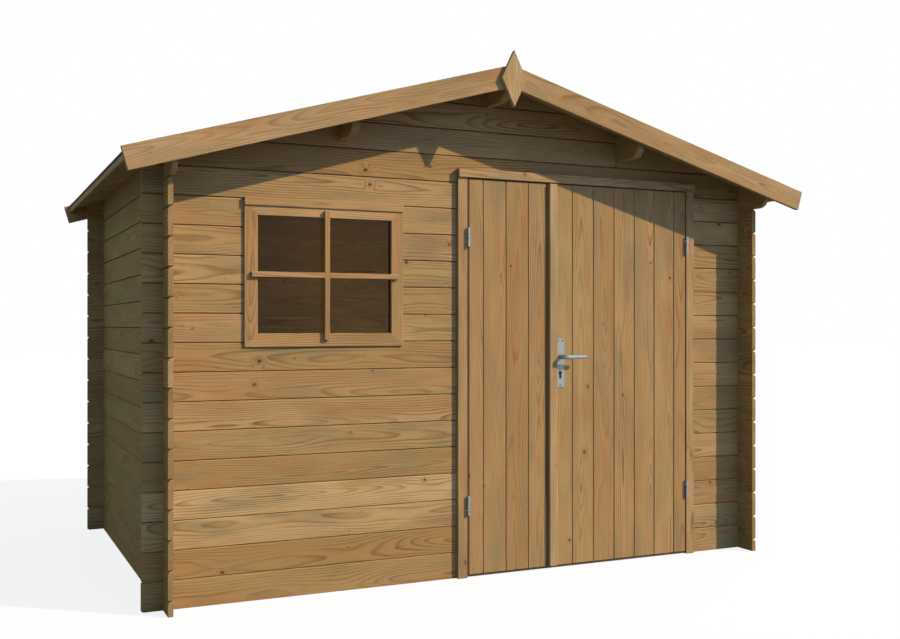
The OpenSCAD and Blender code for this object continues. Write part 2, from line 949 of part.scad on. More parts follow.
front_wall_lower();
front_wall_left_pier();
front_wall_middle_pier();
front_wall_over_window();
front_wall_right();
front_gable();
back_wall();
left_wall();
right_wall();
left_eave_log();
right_eave_log();
ridge_beam();
left_purlin();
right_purlin();
left_roof_boards();
right_roof_boards();
eave_boards();
left_felt();
right_felt();
ridge_felt();
front_left_bargeboard();
front_right_bargeboard();
back_left_bargeboard();
back_right_bargeboard();
front_finial();
back_finial();
door_left_post();
door_right_post();
door_header();
door_sill();
hinge_pins();
left_door_leaf();
left_door_ledges();
left_hinge_sockets();
right_door_leaf();
right_door_ledges();
right_hinge_sockets();
cover_strip();
handle_plate();
lock_case();
lever_handle();
window_frame();
window_pane();
window_head();
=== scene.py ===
import math
import random

import bmesh
import bpy
from mathutils import Matrix, Vector, noise


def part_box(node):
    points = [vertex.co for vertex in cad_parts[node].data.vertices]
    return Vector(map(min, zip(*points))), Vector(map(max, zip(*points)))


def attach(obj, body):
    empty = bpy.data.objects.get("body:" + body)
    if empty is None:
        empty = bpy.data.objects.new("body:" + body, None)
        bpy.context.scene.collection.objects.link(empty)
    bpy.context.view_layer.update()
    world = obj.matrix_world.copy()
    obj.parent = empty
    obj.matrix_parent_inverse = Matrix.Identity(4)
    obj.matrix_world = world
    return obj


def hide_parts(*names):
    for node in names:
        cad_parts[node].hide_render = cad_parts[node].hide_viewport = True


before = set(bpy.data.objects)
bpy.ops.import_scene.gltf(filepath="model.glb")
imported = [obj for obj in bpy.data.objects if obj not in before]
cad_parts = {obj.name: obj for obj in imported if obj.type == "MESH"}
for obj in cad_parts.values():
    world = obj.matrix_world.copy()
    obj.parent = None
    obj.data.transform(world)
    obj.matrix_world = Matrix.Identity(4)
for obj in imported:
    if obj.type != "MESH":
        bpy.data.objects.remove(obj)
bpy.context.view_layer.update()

# Wall planks
# Planed spruce planks, 116 mm high and 20 mm thick, each with a weathered top edge that throws the rain
# outwards. They are notched near their ends and lock over the planks that cross them, without a nail.
PLANK_H = 0.116
PLANK_T = 0.020
PLANK_EASED = 0.0006
PLANK_GROOVE = 0.0015  # half of the fine V between two planks inside
WEATHERED = (0.008, 0.014)  # height and depth of the rounded slope on a plank's top edge
WEATHERED_BEND = (0.4, 0.3)  # where that slope bends, as shares of its height and depth
NOTCH = PLANK_H / 4  # how deep a plank is notched from above and from below
END_EASED = (0.0045, 0.0075)  # height and length of the eased corners at a free end
HAIRLINE = 0.00002  # half of the joint between two boards
MERGED = 1e-6  # points closer than this are one
DOOR_CUT = 0.043  # how far the first gable plank is cut away over the door
ROOF_PITCH = math.radians(15.9)
ALONG_X = Vector((1, 0, 0))
ALONG_Y = Vector((0, 1, 0))
UP = Vector((0, 0, 1))
SIDES = ((-1, "left"), (1, "right"))

front_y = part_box("front_wall_lower")[0].y
back_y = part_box("back_wall")[1].y
side_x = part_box("right_wall")[1].x
log_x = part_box("back_wall")[1].x
log_y0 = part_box("left_wall")[0].y
log_y1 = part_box("left_wall")[1].y
ridge_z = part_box("ridge_beam")[1].z
door_x0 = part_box("door_header")[0].x
door_x1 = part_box("door_header")[1].x
draw = random.Random(11)


def linear(hex_colour):
    """Linear RGBA of an sRGB hex colour."""
    channels = [int(hex_colour[i:i + 2], 16) / 255 for i in (1, 3, 5)]
    return [c / 12.92 if c <= 0.04045 else ((c + 0.055) / 1.055) ** 2.4 for c in channels] + [1.0]


def add(tree, kind, links=None, ramp=(), **settings):
    """Adds a node with its settings. Links give each input a value, or the output that feeds it."""
    node = tree.nodes.new(kind)
    for name, value in settings.items():
        setattr(node, name, value)
    for socket, source in (links or {}).items():
        if isinstance(source, bpy.types.NodeSocket):
            tree.links.new(source, node.inputs[socket])
        else:
            node.inputs[socket].default_value = source
    for index, (position, colour) in enumerate(ramp):
        stops = node.color_ramp.elements
        stop = stops[index] if index < 2 else stops.new(position)
        stop.position = position
        stop.color = colour
    return node


def new_material(name):
    """Empty node material, with its tree."""
    material = bpy.data.materials.new(name)
    material.use_nodes = True
    material.node_tree.nodes.clear()
    return material, material.node_tree


def spruce(name, tones, late_tone, knot_step=0.24, gloss=0.09, bold=(0.30, 0.92)):
    """Planed spruce: pale earlywood, darker latewood lines that draw long arches, brown knots and a slow
    drift of tone. It follows each board's own length, so that the grain turns with the board. Knots lie
    about a knot_step apart, and bold is the range of the latewood's strength."""
    ring_step = 0.0085  # real rings lie 1 to 3 mm apart, drawn coarser so that they show
    ring_wave = 0.0045
    wave_often = (5, 45, 45)  # waves in a metre, along and across
    knot_sizes = (0.0015, 0.0085)
    knot_push = 1.9  # how far a knot pushes the rings aside, in its own radius
    fibre_size = 0.0016  # drawn coarser than real fibres
    fibre_often = (9, 1 / fibre_size, 1 / fibre_size)
    patch_often = (2.6, 11, 11)
    heart_at = (0, -0.148, -0.065)  # minus the heart's furthest place from the board's lower front edge
    heart_spread = (0, 0.08, 0.05)  # how far that differs from board to board
    heart_swing = (0, 0.10, 0.15)  # how far it wanders along a board
    swing_often = (0.85, 3.0, 3.0)
    next_log = (40, 40, 40)  # metres between the places of two boards in the pattern
    material, tree = new_material(name)
    grain = add(tree, "ShaderNodeAttribute", attribute_name="grain").outputs["Vector"]
    board = add(tree, "ShaderNodeAttribute", attribute_name="board").outputs["Fac"]
    end = add(tree, "ShaderNodeAttribute", attribute_name="end").outputs["Fac"]
    dice = add(tree, "ShaderNodeTexWhiteNoise", {"W": board}, noise_dimensions="1D").outputs
    place = add(tree, "ShaderNodeVectorMath", {0: dice["Color"], 1: next_log, 2: grain},
                operation="MULTIPLY_ADD").outputs[0]

    # The heart of the log wanders along the board, behind its face.
    slow = add(tree, "ShaderNodeVectorMath", {0: place, 1: swing_often}, operation="MULTIPLY").outputs[0]
    drift = add(tree, "ShaderNodeTexNoise", {"Vector": slow, "Scale": 1.0, "Detail": 2.0}).outputs["Color"]
    heart = add(tree, "ShaderNodeVectorMath", {0: drift, 1: heart_swing, 2: heart_at},
                operation="MULTIPLY_ADD").outputs[0]
    heart = add(tree, "ShaderNodeVectorMath", {0: dice["Color"], 1: heart_spread, 2: heart},
                operation="MULTIPLY_ADD").outputs[0]
    heart = add(tree, "ShaderNodeVectorMath", {0: grain, 1: (0, 1, 1), 2: heart},
                operation="MULTIPLY_ADD").outputs[0]
    radius = add(tree, "ShaderNodeVectorMath", {0: heart}, operation="LENGTH").outputs["Value"]

    # Knots, which push the rings aside.
    flat = add(tree, "ShaderNodeVectorMath", {0: place, 1: (0.75, 1, 0)}, operation="MULTIPLY").outputs[0]
    knots = add(tree, "ShaderNodeTexVoronoi", {"Vector": flat, "Scale": 1 / knot_step},
                voronoi_dimensions="2D").outputs
    knot_far = add(tree, "ShaderNodeMath", {0: knots["Distance"], 1: knot_step},
                   operation="MULTIPLY").outputs[0]
    knot_dice = add(tree, "ShaderNodeSeparateXYZ", {0: knots["Color"]}).outputs[0]
    knot_r = add(tree, "ShaderNodeMapRange",
                 {0: knot_dice, 1: 0.3, 2: 1.0, 3: knot_sizes[0], 4: knot_sizes[1]}).outputs[0]
    knot_q = add(tree, "ShaderNodeMath", {0: knot_far, 1: knot_r}, operation="DIVIDE").outputs[0]
    knot = add(tree, "ShaderNodeMapRange", {0: knot_q, 1: 0.7, 2: 1.15, 3: 1.0, 4: 0.0},
               interpolation_type="SMOOTHSTEP").outputs[0]
    halo = add(tree, "ShaderNodeMapRange", {0: knot_q, 1: 0.6, 2: 4.5, 3: 1.0, 4: 0.0},
               interpolation_type="SMOOTHERSTEP").outputs[0]
    push = add(tree, "ShaderNodeMath", {0: halo, 1: knot_r}, operation="MULTIPLY").outputs[0]
    radius = add(tree, "ShaderNodeMath", {0: push, 1: knot_push, 2: radius},
                 operation="MULTIPLY_ADD").outputs[0]
    wave_at = add(tree, "ShaderNodeVectorMath", {0: place, 1: wave_often}, operation="MULTIPLY").outputs[0]
    wave = add(tree, "ShaderNodeTexNoise", {"Vector": wave_at, "Scale": 1.0, "Detail": 1.0}).outputs["Fac"]
    radius = add(tree, "ShaderNodeMath", {0: wave, 1: ring_wave, 2: radius},
                 operation="MULTIPLY_ADD").outputs[0]

    # Rings: a slow rise to the dark latewood and a quick fall after it.
    turn = add(tree, "ShaderNodeMath", {0: radius, 1: ring_step}, operation="DIVIDE").outputs[0]
    turn = add(tree, "ShaderNodeMath", {0: turn}, operation="FRACT").outputs[0]
    grey = [(value, value, value, 1) for value in (0.0, 0.12, 1.0, 0.0)]
    late = add(tree, "ShaderNodeValToRGB", {0: turn}, zip((0.0, 0.5, 0.88, 1.0), grey)).outputs[0]
    patch_at = add(tree, "ShaderNodeVectorMath", {0: place, 1: patch_often}, operation="MULTIPLY").outputs[0]
    patches = add(tree, "ShaderNodeTexNoise", {"Vector": patch_at, "Scale": 1.0, "Detail": 3.0}).outputs
    patch = add(tree, "ShaderNodeSeparateXYZ", {0: patches["Color"]}).outputs
    boldness = add(tree, "ShaderNodeMapRange",
                   {0: patch[0], 1: 0.35, 2: 0.65, 3: bold[0], 4: bold[1]}).outputs[0]
    late = add(tree, "ShaderNodeMath", {0: late, 1: boldness}, operation="MULTIPLY").outputs[0]
    fibre_at = add(tree, "ShaderNodeVectorMath", {0: place, 1: fibre_often}, operation="MULTIPLY").outputs[0]
    fibre = add(tree, "ShaderNodeTexNoise", {"Vector": fibre_at, "Scale": 1.0, "Detail": 2.0}).outputs["Fac"]

    # Colour: the board's own tone, olive and reddish patches, latewood, knots and fibres.
    spread = [index / (len(tones) - 1) for index in range(len(tones))]
    tone = add(tree, "ShaderNodeValToRGB", {0: dice["Value"]},
               zip(spread, [linear(tone) for tone in tones])).outputs[0]
    olive = add(tree, "ShaderNodeMapRange", {0: patch[1], 1: 0.48, 2: 0.70, 3: 0.0, 4: 0.70}).outputs[0]
    tone = add(tree, "ShaderNodeMix", {0: olive, 6: tone, 7: linear("#847650")}, data_type="RGBA").outputs[2]
    red = add(tree, "ShaderNodeMapRange", {0: patch[2], 1: 0.48, 2: 0.72, 3: 0.0, 4: 0.60}).outputs[0]
    tone = add(tree, "ShaderNodeMix", {0: red, 6: tone, 7: linear("#A06C42")}, data_type="RGBA").outputs[2]
    tone = add(tree, "ShaderNodeMix", {0: late, 6: tone, 7: linear(late_tone)}, data_type="RGBA").outputs[2]
    ring_round_knot = add(tree, "ShaderNodeMath", {0: halo, 1: 0.30}, operation="MULTIPLY").outputs[0]
    tone = add(tree, "ShaderNodeMix", {0: ring_round_knot, 6: tone, 7: linear("#8A5A30")},
               data_type="RGBA").outputs[2]
    knot_depth = add(tree, "ShaderNodeMath", {0: knot, 1: 0.85}, operation="MULTIPLY").outputs[0]
    tone = add(tree, "ShaderNodeMix", {0: knot_depth, 6: tone, 7: linear("#3E2614")},
               data_type="RGBA").outputs[2]
    streak = add(tree, "ShaderNodeMapRange", {0: fibre, 1: 0.25, 2: 0.75, 3: 0.84, 4: 1.14}).outputs[0]
    tone = add(tree, "ShaderNodeVectorMath", {0: tone, "Scale": streak}, operation="SCALE").outputs[0]
    cut = add(tree, "ShaderNodeMapRange", {0: end, 3: 1.0, 4: 0.86}).outputs[0]
    tone = add(tree, "ShaderNodeVectorMath", {0: tone, "Scale": cut}, operation="SCALE").outputs[0]

    rough = add(tree, "ShaderNodeMapRange", {0: late, 3: 0.85, 4: 0.75}).outputs[0]
    relief = add(tree, "ShaderNodeMath", {0: late, 1: 0.7, 2: fibre}, operation="MULTIPLY_ADD").outputs[0]
    bump = add(tree, "ShaderNodeBump", {"Strength": 0.35, "Distance": 0.0006, "Height": relief}).outputs[0]
    wood = add(tree, "ShaderNodeBsdfPrincipled", {"Base Color": tone, "Roughness": rough, "Normal": bump,
                                                  "Specular IOR Level": gloss, "IOR": 1.5}).outputs[0]
    add(tree, "ShaderNodeOutputMaterial", {"Surface": wood})
    return material


def ring(along, low, high, thick, front, back, slope=None):
    """Section of a board at one place along it, as points (along, across, through), with eased corners.
    The slope of a weathered top edge is given as its height and depth, and is a little rounded."""
    across_through = [(low + front, 0), (low, front), (low, thick - back), (low + back, thick),
                      (high - back, thick), (high, thick - back)]
    if slope:
        fall, deep = slope
        bend_fall, bend_deep = WEATHERED_BEND
        across_through += [(high, deep), (high - bend_fall * fall, bend_deep * deep), (high - fall, 0)]
    else:
        across_through += [(high, front), (high - front, 0)]
    return [Vector((along, across, through)) for across, through in across_through]


def plank_rings(start, stop, crossings):
    """Rings of a wall plank, cut back to the middle half of its height where other planks cross it.
    An end that stands free beyond a crossing has eased corners."""
    ease, reach = END_EASED
    free_start = crossings and crossings[0][0] - start < PLANK_H
    free_stop = crossings and stop - crossings[-1][1] < PLANK_H
    stations = [(start, ease), (start + reach, 0.0)] if free_start else [(start, 0.0)]
    for low, high in crossings:
        stations += [(low, 0.0), (low, NOTCH), (high, NOTCH), (high, 0.0)]
    stations += [(stop - reach, 0.0), (stop, ease)] if free_stop else [(stop, 0.0)]
    return [ring(along, cut + HAIRLINE, PLANK_H - cut - HAIRLINE, PLANK_T,
                 PLANK_EASED, PLANK_GROOVE, WEATHERED)
            for along, cut in stations]


def placed(origin, along, across, through):
    """Matrix that puts a board's own (along, across, through) into the shed."""
    return Matrix.Translation(origin) @ Matrix((along, across, through)).transposed().to_4x4()


def boards_mesh(name, boards):
    """Mesh of boards, each given as (rings, place, number). Every point keeps its place along its board."""
    bm = bmesh.new()
    grain = bm.verts.layers.float_vector.new("grain")
    board = bm.verts.layers.float.new("board")
    end = bm.faces.layers.float.new("end")
    for rings, place, number in boards:
        rows = []
        for points in rings:
            rows.append([bm.verts.new(place @ point) for point in points])
            for vert, point in zip(rows[-1], points):
                vert[grain] = point
                vert[board] = number
        for row, after in zip(rows, rows[1:]):
            for i, vert in enumerate(row):
                j = (i + 1) % len(row)
                bm.faces.new((vert, row[j], after[j], after[i]))
        for row in (rows[0], rows[-1]):
            bm.faces.new(row)[end] = 1.0
    bmesh.ops.remove_doubles(bm, verts=bm.verts, dist=MERGED)
    bmesh.ops.recalc_face_normals(bm, faces=bm.faces)
    mesh = bpy.data.meshes.new(name)
    bm.to_mesh(mesh)
    bm.free()
    return mesh


def new_object(name, mesh):
    """Object that shows a mesh, at the origin."""
    piece = bpy.data.objects.new(name, mesh)
    bpy.context.scene.collection.objects.link(piece)
    return piece


def fix(piece, body, slot, *nodes):
    """Rides a piece on its body and lets it stand for its CAD nodes, which it hides. The slot, the name of
    its finish, is not used.
    """
    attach(piece, body)
    if nodes:
        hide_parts(*nodes)


# Tree that repeats one board, nail or screw: each copy is moved on by a step and gets a number of its own.
stack_tree = bpy.data.node_groups.new("stack_of_boards", "GeometryNodeTree")
stack_tree.interface.new_socket("Geometry", in_out="OUTPUT", socket_type="NodeSocketGeometry")
for label, kind in (("Unit", "Geometry"), ("Rows", "Int"), ("Step", "Vector"), ("Seed", "Int"),
                    ("Finish", "Material")):
    stack_tree.interface.new_socket(label, in_out="INPUT", socket_type="NodeSocket" + kind)
stack_in = add(stack_tree, "NodeGroupInput").outputs
stack_line = add(stack_tree, "GeometryNodeMeshLine", {"Count": stack_in["Rows"], "Offset": stack_in["Step"]})
stack_copy = add(stack_tree, "GeometryNodeInstanceOnPoints", {"Points": stack_line.outputs[0],
                                                              "Instance": stack_in["Unit"]})
stack_number = add(stack_tree, "FunctionNodeRandomValue", {"Seed": stack_in["Seed"]}, data_type="FLOAT")
stack_keep = add(stack_tree, "GeometryNodeStoreNamedAttribute",
                 {"Geometry": stack_copy.outputs[0], "Name": "board", "Value": stack_number.outputs[1]},
                 data_type="FLOAT", domain="INSTANCE")
stack_real = add(stack_tree, "GeometryNodeRealizeInstances", {"Geometry": stack_keep.outputs[0]})
stack_done = add(stack_tree, "GeometryNodeSetMaterial", {"Geometry": stack_real.outputs[0],
                                                         "Material": stack_in["Finish"]})
add(stack_tree, "NodeGroupOutput", {"Geometry": stack_done.outputs[0]})


def made_plain(piece, tree, **inputs):
    """Runs a tree on a piece and keeps the result as a plain mesh."""
    modifier = piece.modifiers.new(tree.name, "NODES")
    modifier.node_group = tree
    for socket in tree.interface.items_tree:
        if socket.name in inputs and socket.in_out == "INPUT":
            modifier[socket.identifier] = inputs[socket.name]
    bpy.context.view_layer.update()
    depsgraph = bpy.context.evaluated_depsgraph_get()
    plain = bpy.data.meshes.new_from_object(piece.evaluated_get(depsgraph), preserve_all_data_layers=True,
                                            depsgraph=depsgraph)
    piece.modifiers.remove(modifier)
    piece.data = plain


def repeat(mesh, rows, step, finish):
    """Piece made of copies of a mesh, one step apart."""
    piece = new_object(mesh.name, mesh)
    made_plain(piece, stack_tree, Rows=rows, Step=step, Seed=draw.randrange(1000), Finish=finish)
    return piece


def stack(name, rings, place, rows, step, wood):
    """Piece made of like boards, one step apart."""
    mesh = boards_mesh(name, [(rings, place, 0.0)])
    mesh.attributes.remove(mesh.attributes["board"])
    return repeat(mesh, rows, step, wood)


def trim(piece, point, normal):
    """Saws off what lies beyond a plane and closes the cuts."""
    bm = bmesh.new()
    bm.from_mesh(piece.data)
    everything = bm.verts[:] + bm.edges[:] + bm.faces[:]
    bmesh.ops.bisect_plane(bm, geom=everything, dist=MERGED, plane_co=point, plane_no=normal,
                           clear_outer=True)
    open_edges = [edge for edge in bm.edges if edge.is_boundary]
    bmesh.ops.holes_fill(bm, edges=open_edges, sides=0)
    bmesh.ops.recalc_face_normals(bm, faces=bm.faces)
    bm.to_mesh(piece.data)
    bm.free()


WALL_TONES = ("#BE9A69", "#AA8152", "#B58A5E", "#AC8D5B", "#A27A4A")
planed_spruce = spruce("planed_spruce_wall", WALL_TONES, "#6F4B28")
wall_slot = "plank_wood"
left_crossing = (-side_x, -side_x + PLANK_T)
right_crossing = (side_x - PLANK_T, side_x)
plank_step = UP * PLANK_H


def front_planks(name, crossings, z=None, rows=None):
    """Planks of one stretch of the front wall, in the place of its CAD node."""
    low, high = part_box(name)
    bottom = low.z if z is None else z
    count = rows or round((high.z - low.z) / PLANK_H)
    place = placed(Vector((0, front_y, bottom)), ALONG_X, UP, ALONG_Y)
    rings = plank_rings(low.x, high.x, crossings)
    return stack(name + "_planks", rings, place, count, plank_step, planed_spruce)


def slope_axes(side):
    """Ways down and out of the left slope of the roof, side -1, or of the right one, side 1."""
    downhill = Vector((side * math.cos(ROOF_PITCH), 0, -math.sin(ROOF_PITCH)))
    out = Vector((side * math.sin(ROOF_PITCH), 0, math.cos(ROOF_PITCH)))
    return downhill, out


for name, crossings in (("front_wall_lower", [left_crossing]), ("front_wall_left_pier", [left_crossing]),
                        ("front_wall_middle_pier", []), ("front_wall_over_window", [left_crossing]),
                        ("front_wall_right", [right_crossing])):
    fix(front_planks(name, crossings), "shed", wall_slot, name)

# The two gables are sawn to the pitch of the roof, and the front one is cut away over the door.
gable_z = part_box("front_gable")[0].z
gable_rows = math.ceil((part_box("front_gable")[1].z - gable_z) / PLANK_H)
back_rows = math.ceil(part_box("back_wall")[1].z / PLANK_H)
gable_rings = plank_rings(-log_x, log_x, [left_crossing, right_crossing])
door_rings = [ring(along, cut + HAIRLINE, PLANK_H - HAIRLINE, PLANK_T, PLANK_EASED, PLANK_GROOVE, WEATHERED)
              for along, cut in ((door_x0, 0.0), (door_x0, DOOR_CUT), (door_x1, DOOR_CUT), (door_x1, 0.0))]
half = len(gable_rings) // 2
gable_place = placed(Vector((0, front_y, gable_z)), ALONG_X, UP, ALONG_Y)
gable_first = stack("front_gable_first_plank", gable_rings[:half] + door_rings + gable_rings[half:],
                    gable_place, 1, plank_step, planed_spruce)
gable_rest = front_planks("front_gable", [], gable_z + PLANK_H, gable_rows - 1)
back_place = placed(Vector((0, back_y, 0)), ALONG_X, UP, -ALONG_Y)
back_planks = stack("back_wall_planks", gable_rings, back_place, back_rows, plank_step, planed_spruce)
for piece, nodes in ((gable_first, []), (gable_rest, ["front_gable"]), (back_planks, ["back_wall"])):
    for side in (-1, 1):
        trim(piece, Vector((0, 0, ridge_z)), slope_axes(side)[1])
    fix(piece, "shed", wall_slot, *nodes)

# Each side wall starts with half a plank, so that its joints lie half a plank above those of the front.
side_crossings = [(front_y, front_y + PLANK_T), (back_y - PLANK_T, back_y)]
side_rings = plank_rings(log_y0, log_y1, side_crossings)
for side, word in SIDES:
    node = word + "_wall"
    rows = round((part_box(node)[1].z - PLANK_H / 2) / PLANK_H)
    place = placed(Vector((side * side_x, 0, PLANK_H / 2)), ALONG_Y, UP, -side * ALONG_X)
    planks = stack(node + "_planks", side_rings, place, rows, plank_step, planed_spruce)
    fix(planks, "shed", wall_slot, node)
    below = place @ Matrix.Translation((0, -PLANK_H, 0))
    foot = stack(node + "_half_plank", side_rings, below, 1, plank_step, planed_spruce)
    trim(foot, Vector((0, 0, 0)), -UP)
    fix(foot, "shed", wall_slot)

# Eave logs, ridge beam and purlins
# Heavier spruce timbers that run from gable to gable and carry the roof, with rounded lower ends that show
# under the front overhang. They lie in notches of the gables.
EASED = 0.0015  # planed edges, just broken
CAD_MERGED = 1e-5
FLAT = math.radians(1)  # faces that turn less than this become one
SHARP = math.radians(35)  # edges that turn more than this are eased
SQUARE_ON = 0.9  # a face whose normal has this cosine with a direction looks that way


def dressed(node, along, across, wood, body="shed", slot="trim_wood", eased=EASED):
    """Copy of a CAD timber with grain along it and its edges eased, standing for the node."""
    bm = bmesh.new()
    bm.from_mesh(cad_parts[node].data)
    bmesh.ops.remove_doubles(bm, verts=bm.verts, dist=CAD_MERGED)
    bmesh.ops.dissolve_limit(bm, angle_limit=FLAT, verts=bm.verts, edges=bm.edges)
    grain = bm.verts.layers.float_vector.new("grain")
    board = bm.verts.layers.float.new("board")
    end = bm.faces.layers.float.new("end")
    axes = (along, across, along.cross(across))
    edges = [min(vert.co.dot(axis) for vert in bm.verts) for axis in axes]
    number = draw.random()
    for vert in bm.verts:
        vert[grain] = [vert.co.dot(axis) - edge for axis, edge in zip(axes, edges)]
        vert[board] = number
    for face in bm.faces:
        face[end] = 1.0 if abs(face.normal.dot(along)) > SQUARE_ON else 0.0
    mesh = bpy.data.meshes.new(node + "_timber")
    bm.to_mesh(mesh)
    bm.free()
    if "custom_normal" in mesh.attributes:
        mesh.attributes.remove(mesh.attributes["custom_normal"])
    mesh.shade_flat()
    mesh.materials.clear()
    mesh.materials.append(wood)
    piece = new_object(mesh.name, mesh)
    bevel = piece.modifiers.new("eased_edges", "BEVEL")
    bevel.width = eased
    bevel.segments = 2
    bevel.limit_method = "ANGLE"
    bevel.angle_limit = SHARP
    fix(piece, body, slot, node)


for node in ("left_eave_log", "right_eave_log", "ridge_beam", "left_purlin", "right_purlin"):
    dressed(node, ALONG_Y, UP, planed_spruce, slot=wall_slot)

# Roof boards
# Spruce boards, 16 mm thick and 96 mm wide, laid from ridge to eave and nailed down on the purlins.
# Their V-grooves show from inside and under the overhangs. The last board is ripped to width.
ROOF_BOARD_W = 0.096
ROOF_BOARD_T = 0.016
ROOF_CHAMFER = 0.004
ROOF_EASED = 0.0005

for side, word in SIDES:
    node = word + "_roof_boards"
    low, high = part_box(node)
    downhill, out = slope_axes(side)
    reach = max(abs(low.x), abs(high.x))
    section = ring(0, HAIRLINE, ROOF_BOARD_W - HAIRLINE, ROOF_BOARD_T, ROOF_CHAMFER, ROOF_EASED)
    top = [Vector((-p.z * math.tan(ROOF_PITCH), p.y, p.z)) for p in section]
    foot = [Vector(((reach - p.z * math.sin(ROOF_PITCH)) / math.cos(ROOF_PITCH), p.y, p.z)) for p in section]
    place = placed(Vector((0, low.y, ridge_z)), downhill, ALONG_Y, out)
    rows = math.ceil((high.y - low.y) / ROOF_BOARD_W)
    piece = stack(node + "_laid", [top, foot], place, rows, ALONG_Y * ROOF_BOARD_W, planed_spruce)
    trim(piece, Vector((0, high.y, 0)), ALONG_Y)
    fix(piece, "shed", wall_slot, node)

# Eave boards, bargeboards and finials
# Planed spruce trim nailed on last: a thin board closes each eave, a wide one each slope of a gable,
# and a pointed finial covers the joint at the ridge.
trim_spruce = spruce("planed_spruce_trim", ("#BD9B6C", "#B68F63", "#AC875A"), "#75502C", knot_step=0.34)
pale_spruce = spruce("planed_spruce_pale", ("#C3A078", "#BC9769"), "#8A6238", knot_step=0.5)
dressed("eave_boards", ALONG_Y, UP, trim_spruce)
for side, word in SIDES:
    downhill, out = slope_axes(side)
    for end_of in ("front", "back"):
        dressed(f"{end_of}_{word}_bargeboard", downhill, out, trim_spruce)
for end_of in ("front", "back"):
    dressed(end_of + "_finial", UP, ALONG_X, pale_spruce)

# Roofing felt
# Bitumen felt with a fine mineral grit, rolled out along the roof in two sheets a side with a lap between
# them, and a strip over the ridge. Flat-headed clout nails hold the edges and the laps.
FELT_T = 0.003
FELT_PLAY = 0.0001  # between the roof boards and the felt
FELT_EASED = 0.0005
FELT_SHEET = 0.92  # from the eave up to the lower edge of the upper sheet
LAP_W = 0.08  # how far the upper sheet lies over the lower one
LAP_RISE = (0.10, 0.07)  # from that edge up to where the upper sheet starts and ends to rise
LAP_STEP = 0.001  # half the length of the step at that edge
FELT_GRID = (12, 4, 16, 44)  # stations above, on and below the lap, and along the roof
FELT_RIPPLE = 0.0012
RIPPLES = (2.5, 5.0)  # in a metre, down the slope and along the roof
FELT_FOLD = 0.010  # how far the felt is folded down over the eave board
NAIL_R = 0.005
NAIL_RISE = 0.0022
NAIL_STEP = 0.15
NAIL_IN = 0.03  # from the edge of a sheet to its nails
RIDGE_NAIL = 0.13  # from the ridge to the nails of its strip


def bitumen_felt():
    """Bitumen felt: near black and dull, with paler grit that sparkles a little."""
    grit = 0.0035  # real grit is about 1 mm, drawn coarser so that it shows
    material, tree = new_material("bitumen_felt")
    at = add(tree, "ShaderNodeTexCoord").outputs["Object"]
    grains = add(tree, "ShaderNodeTexVoronoi", {"Vector": at, "Scale": 1 / grit}).outputs
    speck = add(tree, "ShaderNodeSeparateXYZ", {0: grains["Color"]}).outputs
    cloud = add(tree, "ShaderNodeTexNoise", {"Vector": at, "Scale": 3.0, "Detail": 5.0}).outputs["Fac"]
    colours = [linear(colour) for colour in ("#151617", "#1C1D1E", "#2E2F2F")]
    tone = add(tree, "ShaderNodeValToRGB", {0: speck[0]}, zip((0.0, 0.7, 1.0), colours)).outputs[0]
    worn = add(tree, "ShaderNodeMapRange", {0: cloud, 1: 0.3, 2: 0.7, 3: 0.75, 4: 1.2}).outputs[0]
    tone = add(tree, "ShaderNodeVectorMath", {0: tone, "Scale": worn}, operation="SCALE").outputs[0]
    rough = add(tree, "ShaderNodeMapRange", {0: speck[1], 3: 0.75, 4: 0.95}).outputs[0]
    bump = add(tree, "ShaderNodeBump",
               {"Strength": 0.5, "Distance": 0.0008, "Height": grains["Distance"]}).outputs[0]
    felt = add(tree, "ShaderNodeBsdfPrincipled", {"Base Color": tone, "Roughness": rough, "Normal": bump,
                                                  "Specular IOR Level": 0.1}).outputs[0]
    add(tree, "ShaderNodeOutputMaterial", {"Surface": felt})
    return material


felt = bitumen_felt()


def felt_mesh(name, place, downhill, along, lift):
    """Closed sheet over a grid of stations down the slope and along the roof, raised by lift(s, y)."""
    bm = bmesh.new()
    layers = []
    for under in (True, False):
        layers.append([[bm.verts.new(place @ Vector((s, y, 0.0 if under else lift(s, y)))) for y in along]
                       for s in downhill])
    bottom, top = layers
    for i in range(len(downhill) - 1):
        for j in range(len(along) - 1):
            bm.faces.new((top[i][j], top[i + 1][j], top[i + 1][j + 1], top[i][j + 1]))
            bm.faces.new((bottom[i][j], bottom[i][j + 1], bottom[i + 1][j + 1], bottom[i + 1][j]))
    for j in range(len(along) - 1):
        for i in (0, -1):
            bm.faces.new((top[i][j], top[i][j + 1], bottom[i][j + 1], bottom[i][j]))
    for i in range(len(downhill) - 1):
        for j in (0, -1):
            bm.faces.new((top[i][j], top[i + 1][j], bottom[i + 1][j], bottom[i][j]))
    bmesh.ops.recalc_face_normals(bm, faces=bm.faces)
    mesh = bpy.data.meshes.new(name)
    bm.to_mesh(mesh)
    bm.free()
    mesh.materials.append(felt)
    return mesh


def spaced(start, stop, count):
    """Evenly spaced stations, ends included."""
    return [start + (stop - start) * i / (count - 1) for i in range(count)]


